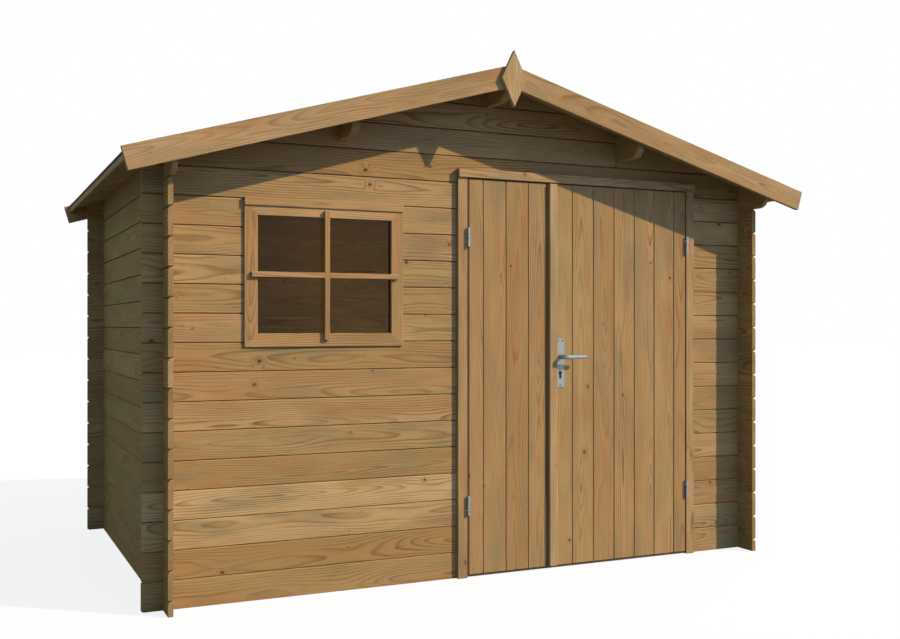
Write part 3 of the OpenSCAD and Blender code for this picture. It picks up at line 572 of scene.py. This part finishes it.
def galvanised_steel():
    """Zinc-coated steel: light bluish grey with dull spangles and a soft gloss."""
    spangle = 0.006
    material, tree = new_material("galvanised_steel")
    at = add(tree, "ShaderNodeTexCoord").outputs["Object"]
    cells = add(tree, "ShaderNodeTexVoronoi", {"Vector": at, "Scale": 1 / spangle}).outputs
    pick = add(tree, "ShaderNodeSeparateXYZ", {0: cells["Color"]}).outputs
    colours = [linear(colour) for colour in ("#7C868A", "#98A2A5")]
    tone = add(tree, "ShaderNodeValToRGB", {0: pick[0]}, zip((0.0, 1.0), colours)).outputs[0]
    rough = add(tree, "ShaderNodeMapRange", {0: pick[1], 3: 0.50, 4: 0.68}).outputs[0]
    steel = add(tree, "ShaderNodeBsdfPrincipled", {"Base Color": tone, "Metallic": 1.0,
                                                   "Roughness": rough}).outputs[0]
    add(tree, "ShaderNodeOutputMaterial", {"Surface": steel})
    return material


zinc = galvanised_steel()


def faced(node, material):
    """Gives a CAD node its finish and leaves its shape alone."""
    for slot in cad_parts[node].material_slots:
        slot.material = material


def round_head(name, radius, rise, place):
    """Mesh of the flat round head of a nail or a screw, standing on its place."""
    bm = bmesh.new()
    rim = 0.85 * radius
    lifted = place @ Matrix.Translation((0, 0, rise / 2))
    bmesh.ops.create_cone(bm, cap_ends=True, segments=14, radius1=radius, radius2=rim, depth=rise,
                          matrix=lifted)
    mesh = bpy.data.meshes.new(name)
    bm.to_mesh(mesh)
    bm.free()
    return mesh


faced("ridge_felt", felt)
above_lap, on_lap, below_lap, along_roof = FELT_GRID
for side, word in SIDES:
    node = word + "_felt"
    low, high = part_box(node)
    length = high.y - low.y
    downhill, out = slope_axes(side)
    under = ROOF_BOARD_T + FELT_PLAY
    reach = max(abs(low.x), abs(high.x)) / math.cos(ROOF_PITCH) - under * math.tan(ROOF_PITCH)
    lap_s = reach - FELT_SHEET

    def felt_lift(s, y):
        """Upper sheet over the lower one as far as the lap, with slight ripples."""
        ripple = FELT_RIPPLE * noise.noise(Vector((s * RIPPLES[0], y * RIPPLES[1], side)))
        over_lap = FELT_T if lap_s - LAP_W < s < lap_s else 0.0
        return FELT_T + over_lap + ripple

    stations = spaced(0.0, lap_s - LAP_RISE[0], above_lap)
    stations += spaced(lap_s - LAP_RISE[1], lap_s - LAP_STEP, on_lap)
    stations += spaced(lap_s + LAP_STEP, reach, below_lap)
    place = placed(Vector((0, low.y, ridge_z)) + out * under, downhill, ALONG_Y, out)
    sheets = felt_mesh(node + "_sheets", place, stations, spaced(0.0, length, along_roof), felt_lift)
    fix(new_object(sheets.name, sheets), "shed", "roofing_felt", node)

    # The fold over the eave, and nails at the eave, the lap and the ridge strip.
    eave_x = side * max(abs(low.x), abs(high.x))
    fold = [ring(y, 0, FELT_FOLD, FELT_T, FELT_EASED, FELT_EASED) for y in (0.0, length)]
    fold_at = Vector((eave_x, low.y, low.z + FELT_T - FELT_FOLD))
    fold = boards_mesh(node + "_fold", [(fold, placed(fold_at, ALONG_Y, UP, side * ALONG_X), 0.0)])
    fold.materials.append(felt)
    fix(new_object(fold.name, fold), "shed", "roofing_felt")
    for label, s, base in (("eave", reach - NAIL_IN, FELT_T), ("lap", lap_s - NAIL_IN, 2 * FELT_T),
                           ("ridge", RIDGE_NAIL, 2 * FELT_T)):
        at = place @ Vector((s, NAIL_STEP / 2, base - NAIL_RISE / 4))
        head = round_head(f"{node}_{label}_nails", NAIL_R, NAIL_RISE, placed(at, downhill, ALONG_Y, out))
        rows = int(length / NAIL_STEP)
        fix(repeat(head, rows, ALONG_Y * NAIL_STEP, zinc), "shed", "galvanised_steel")

# Door frame
# Two planed spruce posts, grooved over the ends of the wall planks, with a header that stands out over
# them and a thin sill between their feet. The posts carry the hinges.
for node in ("door_left_post", "door_right_post"):
    dressed(node, UP, ALONG_X, trim_spruce)
for node in ("door_header", "door_sill"):
    dressed(node, ALONG_X, UP, trim_spruce)

# Door leaves
# Tongued and grooved boards, upright, 114 mm wide, with a narrower one at each hinge. Two ledges and a
# brace are screwed on behind, and a cover strip on the wide leaf closes the gap between the two.
LEAF_T = 0.020
LEAF_CHAMFER = 0.004
LEAF_BOARD_W = 0.114
HINGE_BOARD_W = 0.071
WIDEST_BOARD = 0.130  # the board at the meeting edge takes up what is left
BACK_EASED = 0.0008
LEDGE_W = 0.095
LEDGE_INSET = 0.040
SCREW_R = 0.004
SCREW_IN = 0.024  # from the edges of a ledge to its screws
STRIP_EASED = 0.003
DOOR_TONES = ("#B28A5A", "#A87E4F", "#A37849", "#AB8856")


def screw_heads(name, radius, places):
    """Mesh of countersunk screw heads with a cross recess, one at each place."""
    arm, half, deep = 0.6 * radius, 0.15 * radius, 0.3 * radius
    bm = bmesh.new()
    bmesh.ops.create_cone(bm, cap_ends=True, segments=20, radius1=radius, radius2=0.8 * radius, depth=deep)
    for axis in (ALONG_X, ALONG_Y):
        for far in (-arm, -half, half, arm):
            everything = bm.verts[:] + bm.edges[:] + bm.faces[:]
            bmesh.ops.bisect_plane(bm, geom=everything, plane_co=axis * far, plane_no=axis)
    cross = []
    for face in bm.faces:
        middle = face.calc_center_median()
        short, long = sorted((abs(middle.x), abs(middle.y)))
        if face.normal.z > SQUARE_ON and short < half and long < arm:
            cross.append(face)
    bmesh.ops.inset_region(bm, faces=cross, use_boundary=True, thickness=0.02 * radius, depth=-deep)
    head = bpy.data.meshes.new("screw_head")
    bm.to_mesh(head)
    bm.clear()
    for place in places:
        copy = head.copy()
        copy.transform(place)
        bm.from_mesh(copy)
    mesh = bpy.data.meshes.new(name)
    bm.to_mesh(mesh)
    bm.free()
    return mesh


door_spruce = spruce("planed_spruce_door", DOOR_TONES, "#6F4A27", knot_step=0.26, gloss=0.2,
                     bold=(0.12, 0.75))

for word, way in (("left", 1), ("right", -1)):
    node = word + "_door_leaf"
    body = word + "_door"
    low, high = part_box(node)
    hinge_x, meeting_x = (low.x, high.x) if way > 0 else (high.x, low.x)
    joints = [hinge_x, hinge_x + way * HINGE_BOARD_W]
    while abs(meeting_x - joints[-1]) > WIDEST_BOARD:
        joints.append(joints[-1] + way * LEAF_BOARD_W)
    joints.append(meeting_x)
    boards = []
    for here, there in zip(joints, joints[1:]):
        width = abs(there - here)
        rings = [ring(z, HAIRLINE, width - HAIRLINE, LEAF_T, LEAF_CHAMFER, BACK_EASED)
                 for z in (0.0, high.z - low.z)]
        corner = Vector((min(here, there), low.y, low.z))
        boards.append((rings, placed(corner, UP, ALONG_X, ALONG_Y), draw.random()))
    piece = new_object(node + "_boards", boards_mesh(node + "_boards", boards))
    piece.data.materials.append(door_spruce)
    fix(piece, body, "door_wood", node)

    # Two ledges and the brace between them.
    node = word + "_door_ledges"
    low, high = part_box(node)
    thick = high.y - low.y
    ledge = [ring(x, HAIRLINE, LEDGE_W - HAIRLINE, thick, BACK_EASED, LEAF_CHAMFER)
             for x in (0.0, high.x - low.x)]
    boards = []
    for z in (low.z, high.z - LEDGE_W):
        boards.append((ledge, placed(Vector((low.x, low.y, z)), ALONG_X, UP, ALONG_Y), draw.random()))
    rise = high.z - low.z - 2 * LEDGE_W
    run = high.x - low.x - 2 * LEDGE_INSET - LEDGE_W
    foot_x = low.x + LEDGE_INSET if way > 0 else high.x - LEDGE_INSET - LEDGE_W
    lean = Vector((way * run, 0, rise)).normalized()
    square = Vector((lean.z, 0, -lean.x))
    width = LEDGE_W * lean.z
    section = ring(0, 0, width, thick, BACK_EASED, LEAF_CHAMFER)
    slope = lean.x / lean.z
    brace = [[Vector((at / lean.z + p.y * slope, p.y, p.z)) for p in section] for at in (0.0, rise)]
    corner = Vector((foot_x, low.y, low.z + LEDGE_W))
    boards.append((brace, placed(corner, lean, square, ALONG_Y), draw.random()))
    piece = new_object(node + "_boards", boards_mesh(node + "_boards", boards))
    piece.data.materials.append(door_spruce)
    fix(piece, body, "trim_wood", node)

    # Two screws through each ledge into every board.
    screw_z = [low.z + SCREW_IN, low.z + LEDGE_W - SCREW_IN, high.z - LEDGE_W + SCREW_IN, high.z - SCREW_IN]
    heads = [placed(Vector((low.x + SCREW_IN, high.y, z)), UP, ALONG_X, ALONG_Y) for z in screw_z]
    screws = screw_heads(word + "_door_screws", SCREW_R, heads)
    columns = len(joints) - 1
    screw_step = (high.x - low.x - 2 * SCREW_IN) / (columns - 1)
    fix(repeat(screws, columns, ALONG_X * screw_step, zinc), body, "galvanised_steel")

dressed("cover_strip", UP, ALONG_X, pale_spruce, body="right_door", eased=STRIP_EASED)

# Hinges
# Drill-in hinges of galvanised steel: a pin screwed into each post and a socket screwed into each leaf,
# four of them, with only the barrels showing.
for node in ("hinge_pins", "left_hinge_sockets", "right_hinge_sockets"):
    faced(node, zinc)

# Lock and lever handles
# A rim lock behind the wide leaf, a long plate with a keyhole on its face, and a bent lever on each side
# of one spindle, all of satin aluminium and held by countersunk screws.
PLATE_EASED = 0.0008


def satin_aluminium():
    """Satin-anodised aluminium: pale, even and softly brushed along its length."""
    brush = 0.0008  # drawn coarser than real brushing
    material, tree = new_material("satin_aluminium")
    at = add(tree, "ShaderNodeTexCoord").outputs["Object"]
    fine = add(tree, "ShaderNodeVectorMath", {0: at, 1: (1 / brush, 1 / brush, 20)},
               operation="MULTIPLY").outputs[0]
    lines = add(tree, "ShaderNodeTexNoise", {"Vector": fine, "Scale": 1.0, "Detail": 2.0}).outputs["Fac"]
    colours = [linear(colour) for colour in ("#818A91", "#969FA4")]
    tone = add(tree, "ShaderNodeValToRGB", {0: lines}, zip((0.3, 0.7), colours)).outputs[0]
    rough = add(tree, "ShaderNodeMapRange", {0: lines, 1: 0.3, 2: 0.7, 3: 0.66, 4: 0.78}).outputs[0]
    metal = add(tree, "ShaderNodeBsdfPrincipled", {"Base Color": tone, "Metallic": 1.0,
                                                   "Roughness": rough}).outputs[0]
    add(tree, "ShaderNodeOutputMaterial", {"Surface": metal})
    return material


aluminium = satin_aluminium()
dressed("handle_plate", UP, ALONG_X, aluminium, body="right_door", slot="handle_metal", eased=PLATE_EASED)
dressed("lock_case", UP, ALONG_X, aluminium, body="right_door", slot="handle_metal")
faced("lever_handle", aluminium)

# Burnished steel: dark and half dull, for the screws. On the lock cylinder its near black is painted shade
# for the depth of the keyhole.
dark_steel_and_keyhole_shade, tree = new_material("burnished_steel_and_keyhole_shade")
dark = add(tree, "ShaderNodeBsdfPrincipled",
           {"Base Color": linear("#1A1815"), "Metallic": 0.6, "Roughness": 0.5}).outputs[0]
add(tree, "ShaderNodeOutputMaterial", {"Surface": dark})

# Screws: two at the head of the plate and one at its foot, and four on the lock case inside.
SCREW_INSET = 0.009
plate_low, plate_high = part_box("handle_plate")
case_low, case_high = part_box("lock_case")
plate_x = (plate_low.x + plate_high.x) / 2
outward = (ALONG_X, UP, -ALONG_Y)
inward = (UP, ALONG_X, ALONG_Y)
plate_head = Vector((plate_low.x + SCREW_INSET, plate_low.y, plate_high.z - SCREW_INSET))
plate_foot = Vector((plate_x, plate_low.y, plate_low.z + SCREW_INSET))
case_x = case_low.x + SCREW_INSET
case_places = [placed(Vector((case_x, case_high.y, z)), *inward)
               for z in (case_low.z + SCREW_INSET, case_high.z - SCREW_INSET)]
for name, places, rows, span in (
        ("plate_head_screws", [placed(plate_head, *outward)], 2, plate_high.x - SCREW_INSET - plate_head.x),
        ("plate_foot_screw", [placed(plate_foot, *outward)], 1, 0.0),
        ("lock_case_screws", case_places, 2, case_high.x - SCREW_INSET - case_x)):
    screws = screw_heads(name, SCREW_R, places)
    fix(repeat(screws, rows, ALONG_X * span, dark_steel_and_keyhole_shade), "right_door", "handle_metal")

# The keyhole shows the near-black face of the lock cylinder, set just behind the plate: painted shade for
# the depth of the hole.
KEY_DROP = 0.073  # from the lever's spindle to the middle of the keyhole's round
KEY_R = 0.0094
KEY_HALF = 0.0059
KEY_FOOT = 0.021  # from that middle down to the middle of the foot's round end
KEY_STEPS = 19  # straight pieces round the head
KEY_FOOT_STEPS = 8
KEY_SET_BACK = 0.0015  # from the plate's face to the cylinder's
KEY_BEHIND = 0.001  # how far the cylinder runs on behind the plate
lever_low, lever_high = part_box("lever_handle")
key_z = (lever_low.z + lever_high.z) / 2 - KEY_DROP
shoulder = math.asin(KEY_HALF / KEY_R)
outline = []
for turn in spaced(shoulder, 2 * math.pi - shoulder, KEY_STEPS + 1):
    outline.append((KEY_R * math.sin(turn), -KEY_R * math.cos(turn)))
for turn in spaced(math.pi, 2 * math.pi, KEY_FOOT_STEPS + 1):
    outline.append((KEY_HALF * math.cos(turn), -KEY_FOOT + KEY_HALF * math.sin(turn)))
key_rings = [[Vector((y, x, z)) for x, z in outline]
             for y in (plate_low.y + KEY_SET_BACK, plate_high.y + KEY_BEHIND)]
key_place = placed(Vector((plate_x, 0, key_z)), ALONG_Y, ALONG_X, UP)
keyhole_painted_shade = boards_mesh("lock_cylinder_painted_shade", [(key_rings, key_place, 0.0)])
keyhole_painted_shade.materials.append(dark_steel_and_keyhole_shade)
fix(new_object(keyhole_painted_shade.name, keyhole_painted_shade), "right_door", "handle_metal")

# Window
# A fixed four-light window: a mitred spruce frame lapped over the planks, one pane of glass, a glazing
# cross planted on the face of the frame, and a sloping head board that sheds the rain.
RAIL_W = 0.055
RAIL_EASED = 0.001
RAIL_CHAMFER = 0.002  # towards the pane
HEAD_LAP = 0.0005  # the top rail ends below the planks over it, so it has next to no lap
BAR_W = 0.022
BAR_T = 0.015
BAR_EASED = 0.0015
BAR_BACK_EASED = 0.0003
WINDOW_TONES = ("#BC9162", "#AC8052", "#B58A5A")
window_low, window_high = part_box("window_frame")
opening_x0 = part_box("front_wall_left_pier")[1].x
opening_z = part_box("front_wall_left_pier")[0].z


def rail(length, lap):
    """Rings of a mitred rail with a lap over the planks, from its outer edge inwards."""
    face = front_y - window_low.y
    deep = window_high.y - window_low.y
    section = [(0, RAIL_EASED), (0, face), (lap, face), (lap, deep), (RAIL_W, deep),
               (RAIL_W, RAIL_CHAMFER), (RAIL_W - RAIL_CHAMFER, 0), (RAIL_EASED, 0)]
    return [[Vector((start + sign * across, across, through)) for across, through in section]
            for start, sign in ((HAIRLINE, 1), (length - HAIRLINE, -1))]


window_w = window_high.x - window_low.x
window_h = window_high.z - window_low.z
side_lap = opening_x0 - window_low.x
corner_low = Vector((window_low.x, window_low.y, window_low.z))
corner_high = Vector((window_high.x, window_low.y, window_high.z))
rails = [
    (rail(window_w, opening_z - window_low.z), placed(corner_low, ALONG_X, UP, ALONG_Y), draw.random()),
    (rail(window_w, HEAD_LAP), placed(corner_high, -ALONG_X, -UP, ALONG_Y), draw.random()),
    (rail(window_h, side_lap), placed(corner_low, UP, ALONG_X, ALONG_Y), draw.random()),
    (rail(window_h, side_lap), placed(corner_high, -UP, -ALONG_X, ALONG_Y), draw.random()),
]
window_spruce = spruce("planed_spruce_window", WINDOW_TONES, "#74502C", knot_step=0.5)
piece = new_object("window_rails", boards_mesh("window_rails", rails))
piece.data.materials.append(window_spruce)
fix(piece, "shed", "trim_wood", "window_frame")

bar_lap = RAIL_W / 2
middle_x = (window_low.x + window_high.x) / 2
middle_z = (window_low.z + window_high.z) / 2
bar_y = window_low.y - BAR_T


def bar_rings(start, stop):
    """Rings of a glazing bar."""
    return [ring(along, 0, BAR_W, BAR_T, BAR_EASED, BAR_BACK_EASED) for along in (start, stop)]


upright = placed(Vector((middle_x - BAR_W / 2, bar_y, 0)), UP, ALONG_X, ALONG_Y)
across = placed(Vector((0, bar_y, middle_z - BAR_W / 2)), ALONG_X, UP, ALONG_Y)
bars = [
    (bar_rings(window_low.z + bar_lap, window_high.z - bar_lap), upright, draw.random()),
    (bar_rings(window_low.x + bar_lap, middle_x - BAR_W / 2), across, draw.random()),
    (bar_rings(middle_x + BAR_W / 2, window_high.x - bar_lap), across, draw.random()),
]
piece = new_object("glazing_bars", boards_mesh("glazing_bars", bars))
piece.data.materials.append(window_spruce)
fix(piece, "shed", "trim_wood")
dressed("window_head", ALONG_X, UP, window_spruce)


def window_glass():
    """Plain float glass: clear with a faint brown-grey cast, and a mirror at low angles."""
    material, tree = new_material("float_glass")
    clear = add(tree, "ShaderNodeBsdfTransparent", {"Color": linear("#D8D6CE")}).outputs[0]
    mirror = add(tree, "ShaderNodeBsdfGlossy", {"Roughness": 0.02, "Color": linear("#8C8C8C")}).outputs[0]
    edge = add(tree, "ShaderNodeFresnel", {"IOR": 1.45}).outputs[0]
    glass = add(tree, "ShaderNodeMixShader", {0: edge, 1: clear, 2: mirror}).outputs[0]
    add(tree, "ShaderNodeOutputMaterial", {"Surface": glass})
    return material


faced("window_pane", window_glass())

# Floor, light and camera
# A plain pale floor that keeps a faint shadow, one warm sun lamp from the front right, dim soft light from
# all round with more of it from the front right and the back right, a weak lamp in the room, and the
# camera low and to the left of the door.
FLOOR_HALF = 40.0
FLOOR_DROP = 0.001  # below the feet of the walls
FLOOR_GLOW = 0.85  # share of plain white in the floor that the camera sees
FLOOR_GREY = "#727D80"  # the floor that throws light back at the shed
SUN_TRAVEL = Vector((-0.66, 0.53, -0.53))
SUN_STRENGTH = 4.5
SUN_TONE = (1.0, 0.88, 0.64)
SUN_WIDTH = math.radians(0.8)
FILL_DIM = (0.11, 0.24, 0.21, 1.0)  # soft light from the left and from above
FILL_SIDES = ((Vector((0.55, -0.83, 0.0)), (0.57, 0.84, 1.54, 1.0)),  # and from the front right
              (Vector((0.60, 0.80, 0.0)), (0.90, 0.90, 0.90, 1.0)))  # and the back right
FILL_EDGE = 0.8  # cosine of the angle within which such a side has its full tone
WHITE = (1.0, 1.0, 1.0, 1.0)
ROOM_WATTS = 11.5
ROOM_TONE = (1.0, 0.97, 0.74)
ROOM_LAMP_R = 0.3
ROOM_LAMP_AT = (0.0, 0.1, 1.2)
EYE = Vector((-2.1518, -5.1150, 1.1111))
EYE_TURN = math.radians(-24.924)
LENS = 42.55
SENSOR = 36.0
PICTURE_W = 900
FRAME_LIFT = 5.64 / PICTURE_W  # the view is shifted up by 5.64 pixels


def background_rays(tree):
    """One for the rays of the camera, of mirrors and of glass, which see the pale background."""
    rays = add(tree, "ShaderNodeLightPath").outputs
    seen = rays["Is Camera Ray"]
    for kind in ("Is Glossy Ray", "Is Transmission Ray"):
        seen = add(tree, "ShaderNodeMath", {0: seen, 1: rays[kind]}, operation="MAXIMUM").outputs[0]
    return seen


floor_material, tree = new_material("pale_studio_floor")
seen = background_rays(tree)
share = add(tree, "ShaderNodeMath", {0: seen, 1: FLOOR_GLOW}, operation="MULTIPLY").outputs[0]
matt = add(tree, "ShaderNodeMix", {0: seen, 6: linear(FLOOR_GREY), 7: linear("#F6F6F6")},
           data_type="RGBA").outputs[2]
matt = add(tree, "ShaderNodeBsdfDiffuse", {"Color": matt}).outputs[0]
glow = add(tree, "ShaderNodeEmission", {"Color": WHITE, "Strength": 1.0}).outputs[0]
both = add(tree, "ShaderNodeMixShader", {0: share, 1: matt, 2: glow}).outputs[0]
add(tree, "ShaderNodeOutputMaterial", {"Surface": both})
floor_mesh = bpy.data.meshes.new("floor")
floor_corners = [(x * FLOOR_HALF, y * FLOOR_HALF, -FLOOR_DROP)
                 for x, y in ((-1, -1), (1, -1), (1, 1), (-1, 1))]
floor_mesh.from_pydata(floor_corners, [], [(0, 1, 2, 3)])
floor_mesh.materials.append(floor_material)
new_object("floor", floor_mesh)

world = bpy.data.worlds.new("studio")
world.use_nodes = True
tree = world.node_tree
tree.nodes.clear()
seen = background_rays(tree)
sky_way = add(tree, "ShaderNodeTexCoord").outputs["Generated"]
sky = FILL_DIM
for side_way, tone in FILL_SIDES:
    facing = add(tree, "ShaderNodeVectorMath", {0: sky_way, 1: side_way},
                 operation="DOT_PRODUCT").outputs["Value"]
    facing = add(tree, "ShaderNodeMapRange", {0: facing, 1: 0.0, 2: FILL_EDGE},
                 interpolation_type="SMOOTHSTEP").outputs[0]
    sky = add(tree, "ShaderNodeMix", {0: facing, 6: sky, 7: tone}, data_type="RGBA").outputs[2]
sky = add(tree, "ShaderNodeMix", {0: seen, 6: sky, 7: WHITE}, data_type="RGBA").outputs[2]
sky = add(tree, "ShaderNodeBackground", {"Color": sky, "Strength": 1.0}).outputs[0]
add(tree, "ShaderNodeOutputWorld", {"Surface": sky})
bpy.context.scene.world = world

sun = bpy.data.lights.new("sun", "SUN")
sun.energy = SUN_STRENGTH
sun.color = SUN_TONE
sun.angle = SUN_WIDTH
sun_object = bpy.data.objects.new("sun", sun)
sun_object.rotation_euler = SUN_TRAVEL.to_track_quat("-Z", "Y").to_euler()
bpy.context.scene.collection.objects.link(sun_object)

room = bpy.data.lights.new("room_lamp", "POINT")
room.energy = ROOM_WATTS
room.color = ROOM_TONE
room.shadow_soft_size = ROOM_LAMP_R
room_object = bpy.data.objects.new("room_lamp", room)
room_object.location = ROOM_LAMP_AT
room_object.visible_camera = False
room_object.visible_glossy = False
bpy.context.scene.collection.objects.link(room_object)

camera = bpy.data.cameras.new("camera")
camera.lens = LENS
camera.sensor_width = SENSOR
camera.sensor_fit = "HORIZONTAL"
camera.shift_y = FRAME_LIFT
camera_object = bpy.data.objects.new("camera", camera)
camera_object.location = EYE
camera_object.rotation_euler = (math.radians(90), 0, EYE_TURN)
bpy.context.scene.collection.objects.link(camera_object)
bpy.context.scene.camera = camera_object
bpy.context.scene.view_settings.view_transform = "Standard"
